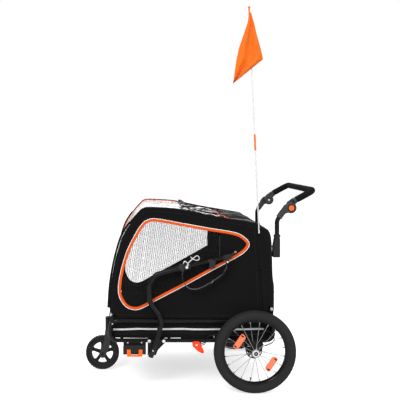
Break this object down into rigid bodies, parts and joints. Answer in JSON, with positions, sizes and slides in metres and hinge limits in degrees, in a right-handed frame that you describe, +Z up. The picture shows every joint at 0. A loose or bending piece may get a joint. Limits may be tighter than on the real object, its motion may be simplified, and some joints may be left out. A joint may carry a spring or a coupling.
{
  "type": "bicycle dog trailer",
  "caption": "Enclosed fabric dog trailer on a folding tube frame with spoked rear wheels, a swivel front wheel, a push handle, a stowed tow arm and a safety flag.",
  "frame": {"origin": "on the ground, under the centre of the bounding box", "axes": "+Z up, -X the way the trailer heads, +X towards the push handle, -Y the left side with the tow arm, +Y the right side"},
  "size_m": [1.1629, 0.7166, 1.8878],
  "materials": {
    "black_steel": "gloss",
    "black_plastic": "satin",
    "grey_plastic": "satin",
    "tyre_rubber": "matte",
    "cable_rubber": "matte",
    "foam": "matte",
    "silver": "satin",
    "black_fabric": "matte",
    "net": "matte",
    "webbing": "matte",
    "orange_plastic": "satin",
    "orange_fabric": "matte",
    "amber": "gloss",
    "white_rod": "gloss",
    "board": "matte"
  },
  "bodies": {
    "chassis": {"side_frame_left": "black_steel", "side_frame_right": "black_steel", "rear_cross_tube": "black_steel", "floor_tube": "black_steel", "caster_socket": "black_steel", "tray": "black_fabric", "floor_board": "board", "rear_axle": "black_steel", "wheel_bolt_left": "silver", "wheel_bolt_right": "silver", "hinge_plate_left_front": "silver", "hinge_plate_left_rear": "silver", "hinge_plate_right_front": "silver", "hinge_plate_right_rear": "silver", "arm_bracket": "black_steel", "arm_saddle": "black_plastic", "brake_cable_left": "cable_rubber", "brake_cable_right": "cable_rubber", "flag_sleeve": "black_fabric", "side_panel_left": "black_fabric", "side_panel_right": "black_fabric", "window_net_left": "net", "window_net_right": "net", "roof_cover": "black_fabric", "rear_cover": "black_fabric", "roof_roll": "black_fabric"},
    "wheel_left": {"tyre_left": "tyre_rubber", "rim_left": "black_steel", "hub_left": "black_plastic", "reflector_left_front": "amber", "reflector_left_rear": "amber"},
    "wheel_right": {"tyre_right": "tyre_rubber", "rim_right": "black_steel", "hub_right": "black_plastic", "reflector_right_front": "amber", "reflector_right_rear": "amber"},
    "caster": {"caster_fork": "grey_plastic", "front_axle": "silver"},
    "front_wheel": {"front_wheel": "black_plastic", "front_tyre": "tyre_rubber"},
    "front_hoop": {"front_hoop": "black_steel"},
    "rear_hoop": {"rear_hoop": "black_steel"},
    "handle_stems": {"handle_stem_left": "black_steel", "handle_stem_right": "black_steel"},
    "handle_bar": {"handle_bar": "black_steel", "handle_grip": "foam"},
    "button_left": {"button_left": "orange_plastic"},
    "button_right": {"button_right": "orange_plastic"},
    "tow_arm": {"tow_arm": "black_steel", "hitch_rod": "black_steel", "safety_strap": "webbing"},
    "hitch_pin": {"hitch_pin": "silver"},
    "arm_latch": {"arm_latch": "orange_plastic"},
    "brake_pedal": {"brake_pedal": "orange_plastic"},
    "brake_pin_left": {"brake_pin_left": "silver"},
    "brake_pin_right": {"brake_pin_right": "silver"},
    "flag": {"flag_pole": "white_rod", "flag_ferrule": "orange_plastic", "flag": "orange_fabric"},
    "rear_door": {"rear_door": "black_fabric"}
  },
  "joints": [
    {"name": "wheel_left_spin", "type": "hinge", "parent": "chassis", "child": "wheel_left", "pos_m": [0.2712, -0.325, 0.2], "axis": [0, 1, 0], "continuous": true},
    {"name": "wheel_right_spin", "type": "hinge", "parent": "chassis", "child": "wheel_right", "pos_m": [0.2712, 0.325, 0.2], "axis": [0, 1, 0], "continuous": true},
    {"name": "caster_swivel", "type": "hinge", "parent": "chassis", "child": "caster", "pos_m": [-0.4628, 0, 0.214], "axis": [0, 0, 1], "continuous": true},
    {"name": "front_wheel_spin", "type": "hinge", "parent": "caster", "child": "front_wheel", "pos_m": [-0.4918, 0, 0.0905], "axis": [0, 1, 0], "continuous": true},
    {"name": "rear_fold", "type": "hinge", "parent": "chassis", "child": "rear_hoop", "pos_m": [0.3597, 0, 0.3985], "axis": [0, 1, 0], "range_deg": [-68, 0], "deforming": ["side_panel_left", "side_panel_right", "window_net_left", "window_net_right", "roof_cover", "rear_cover", "rear_door", "roof_roll", "flag_sleeve"]},
    {"name": "front_fold", "type": "hinge", "parent": "chassis", "child": "front_hoop", "pos_m": [-0.4303, 0, 0.372], "axis": [0, -1, 0], "range_deg": [-70.1, 0]},
    {"name": "handle_height", "type": "slide", "parent": "rear_hoop", "child": "handle_stems", "axis": [0, 0, 1], "range_m": [0, 0.06]},
    {"name": "handle_tilt", "type": "hinge", "parent": "handle_stems", "child": "handle_bar", "pos_m": [0.4592, 0, 0.893], "axis": [0, 1, 0], "range_deg": [-75, 75]},
    {"name": "button_left_press", "type": "slide", "parent": "handle_stems", "child": "button_left", "axis": [0, 1, 0], "range_m": [0, 0.003], "stiffness_N_per_m": 500, "springref_m": -0.001},
    {"name": "button_right_press", "type": "slide", "parent": "handle_stems", "child": "button_right", "axis": [0, -1, 0], "range_m": [0, 0.003], "stiffness_N_per_m": 500, "springref_m": -0.001},
    {"name": "tow_arm_swing", "type": "hinge", "parent": "chassis", "child": "tow_arm", "pos_m": [-0.2226, -0.3095, 0.203], "axis": [0, 1, 0], "range_deg": [-106, 0]},
    {"name": "hitch_pin_pull", "type": "slide", "parent": "tow_arm", "child": "hitch_pin", "axis": [0, -1, 0], "range_m": [0, 0.024]},
    {"name": "arm_latch_press", "type": "slide", "parent": "chassis", "child": "arm_latch", "axis": [0, 0, -1], "range_m": [0, 0.006], "stiffness_N_per_m": 400, "springref_m": -0.001},
    {"name": "brake_pedal_press", "type": "hinge", "parent": "chassis", "child": "brake_pedal", "pos_m": [-0.0098, -0.2979, 0.226], "axis": [0, 1, 0], "range_deg": [0, 20]},
    {"name": "brake_pin_left_slide", "type": "slide", "parent": "chassis", "child": "brake_pin_left", "axis": [0, -1, 0], "range_m": [0, 0.008]},
    {"name": "brake_pin_right_slide", "type": "slide", "parent": "chassis", "child": "brake_pin_right", "axis": [0, 1, 0], "range_m": [0, 0.008]},
    {"name": "flag_lift", "type": "slide", "parent": "chassis", "child": "flag", "axis": [-0.0441, 0, 0.999], "range_m": [0, 0.175]},
    {"name": "rear_door_drop", "type": "hinge", "parent": "chassis", "child": "rear_door", "pos_m": [0.3741, 0, 0.4], "axis": [0, 1, 0], "range_deg": [0, 105]}
  ],
  "couplings": [
    {"joint": "front_fold", "follows": "rear_fold", "ratio": 1.0294},
    {"joint": "brake_pin_left_slide", "follows": "brake_pedal_press", "m_per_rad": 0.0229},
    {"joint": "brake_pin_right_slide", "follows": "brake_pedal_press", "m_per_rad": 0.0229}
  ]
}
